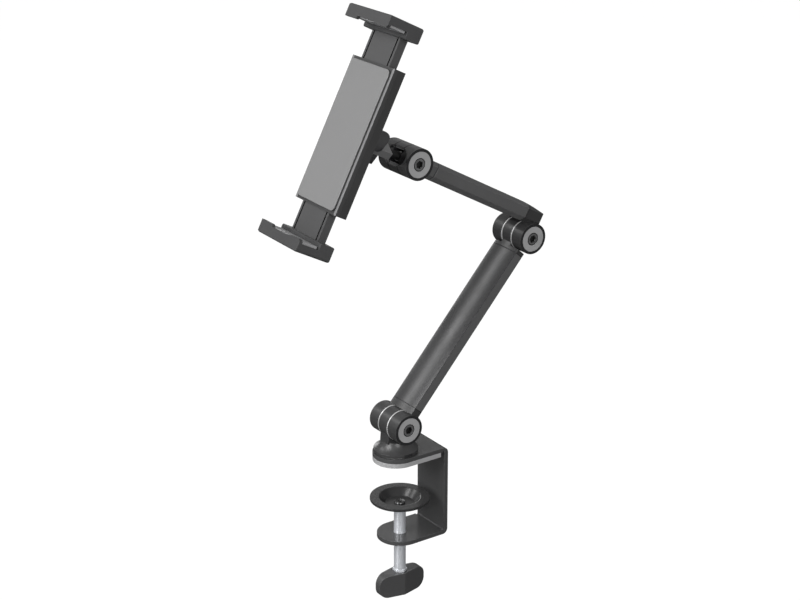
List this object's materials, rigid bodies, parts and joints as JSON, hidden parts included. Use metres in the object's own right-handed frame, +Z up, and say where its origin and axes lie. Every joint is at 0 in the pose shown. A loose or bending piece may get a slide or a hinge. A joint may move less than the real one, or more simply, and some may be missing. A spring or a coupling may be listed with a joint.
{
  "type": "tablet mount",
  "caption": "Desk-clamp tablet holder: a turret, folding arms and a ball head carry a cradle whose sliding jaws grip a tablet by its edges.",
  "frame": {"origin": "on the turret's axis, at the underside of the pad that rests on the desk", "axes": "+Z up, +Y towards the clamp's back plate, +X along the arms' pivots"},
  "size_m": [0.0671, 0.2449, 0.4957],
  "materials": {
    "clamp_paint": "satin, near black",
    "desk_rubber": "matt, mid grey",
    "plated_steel": "bright zinc plate",
    "knob_plastic": "fine-grained, charcoal",
    "arm_paint": "matt charcoal paint",
    "bolt_black": "dark oxide",
    "ring_grey": "matt, mid grey",
    "washer_steel": "turned, bright",
    "nylon": "natural nylon",
    "ball_steel": "polished",
    "neck_steel": "dark plate",
    "swivel_paint": "matt charcoal paint",
    "cradle_plastic": "fine-grained, near black",
    "frame_plastic": "matt, dark grey",
    "face_rubber": "matt, mid grey",
    "jaw_plastic": "fine-grained, charcoal",
    "strip_rubber": "matt, light grey"
  },
  "bodies": {
    "clamp": {"clamp_bracket": "clamp_paint", "desk_pad": "desk_rubber", "turret_washer": "washer_steel"},
    "press_foot": {"press_disc": "clamp_paint"},
    "screw": {"clamp_screw": "plated_steel", "disc_keeper": "plated_steel", "wing_knob": "knob_plastic"},
    "turret": {"base_turret": "arm_paint", "turret_bolt": "plated_steel"},
    "lower_arm": {"lower_arm_foot_cap": "arm_paint", "lower_arm_tube": "arm_paint", "lower_arm_elbow_cap": "arm_paint", "shoulder_washers": "washer_steel", "shoulder_bolt": "bolt_black", "shoulder_nut": "bolt_black", "shoulder_end_rings": "ring_grey"},
    "upper_arm": {"upper_arm_elbow_cap": "arm_paint", "upper_arm_beam": "arm_paint", "upper_arm_head_cap": "arm_paint", "head_sleeve": "arm_paint", "head_clamp_screws": "bolt_black", "head_end_rings": "ring_grey", "elbow_washers": "washer_steel", "elbow_bolt": "bolt_black", "elbow_nut": "bolt_black", "elbow_end_rings": "ring_grey"},
    "cups": {"ball_cups": "nylon"},
    "ball": {"head_ball": "ball_steel"},
    "neck": {"neck_link": "neck_steel", "neck_clip": "plated_steel"},
    "fork": {"swivel_rotor": "swivel_paint", "pivot_pin": "neck_steel"},
    "cradle": {"swivel_plate": "swivel_paint", "swivel_screws": "plated_steel", "cradle_rear_housing": "cradle_plastic", "cradle_front_frame": "frame_plastic", "cradle_pad": "face_rubber", "housing_screws": "plated_steel", "pinion_washer": "nylon"},
    "upper_grip": {"upper_slider": "cradle_plastic", "upper_jaw": "jaw_plastic", "upper_jaw_strip": "strip_rubber", "upper_jaw_screws": "plated_steel"},
    "lower_grip": {"lower_slider": "cradle_plastic", "lower_jaw": "jaw_plastic", "lower_jaw_strip": "strip_rubber", "lower_jaw_screws": "plated_steel"},
    "pinion": {"jaw_pinion": "nylon"}
  },
  "joints": [
    {"name": "clamp_travel", "type": "slide", "parent": "clamp", "child": "press_foot", "axis": [0, 0, 1], "range_m": [-0.023, 0.029]},
    {"name": "screw_turn", "type": "hinge", "parent": "press_foot", "child": "screw", "pos_m": [0, 0.004, -0.06], "axis": [0, 0, 1], "range_deg": [-5525, 6965]},
    {"name": "turret_turn", "type": "hinge", "parent": "clamp", "child": "turret", "pos_m": [0, 0, 0.0083], "axis": [0, 0, 1], "continuous": true},
    {"name": "shoulder_fold", "type": "hinge", "parent": "turret", "child": "lower_arm", "pos_m": [0, 0, 0.032], "axis": [1, 0, 0], "range_deg": [-45, 130]},
    {"name": "elbow_fold", "type": "hinge", "parent": "lower_arm", "child": "upper_arm", "pos_m": [0, 0.12179, 0.16966], "axis": [-1, 0, 0], "range_deg": [-40, 100]},
    {"name": "head_tilt", "type": "hinge", "parent": "upper_arm", "child": "cups", "pos_m": [0, 0.00954, 0.252], "axis": [1, 0, 0], "range_deg": [-14, 14]},
    {"name": "head_pan", "type": "hinge", "parent": "cups", "child": "ball", "pos_m": [0, 0.00954, 0.252], "axis": [0, 0.4633, 0.8862], "range_deg": [-9.4, 20.6]},
    {"name": "neck_roll", "type": "hinge", "parent": "ball", "child": "neck", "pos_m": [0, 0.00954, 0.252], "axis": [-0.0976, -0.882, 0.4611], "continuous": true},
    {"name": "fork_pivot", "type": "hinge", "parent": "neck", "child": "fork", "pos_m": [-0.00365, -0.02345, 0.26925], "axis": [0.4518, 0.3735, 0.8101], "range_deg": [-45, 45]},
    {"name": "cradle_turn", "type": "hinge", "parent": "fork", "child": "cradle", "pos_m": [-0.00472, -0.03315, 0.27432], "axis": [-0.0976, -0.882, 0.4611], "continuous": true},
    {"name": "upper_jaw_slide", "type": "slide", "parent": "cradle", "child": "upper_grip", "axis": [0, 0.4633, 0.8862], "range_m": [-0.0224, 0.022]},
    {"name": "lower_jaw_slide", "type": "slide", "parent": "cradle", "child": "lower_grip", "axis": [0, -0.4633, -0.8862], "range_m": [-0.0224, 0.022]},
    {"name": "pinion_turn", "type": "hinge", "parent": "cradle", "child": "pinion", "pos_m": [-0.00521, -0.03756, 0.27663], "axis": [-0.0976, -0.882, 0.4611], "range_deg": [-215, 212]}
  ],
  "couplings": [
    {"joint": "screw_turn", "follows": "clamp_travel", "rad_per_m": 4188.8},
    {"joint": "lower_jaw_slide", "follows": "upper_jaw_slide", "ratio": 1},
    {"joint": "pinion_turn", "follows": "upper_jaw_slide", "rad_per_m": 166.67}
  ]
}
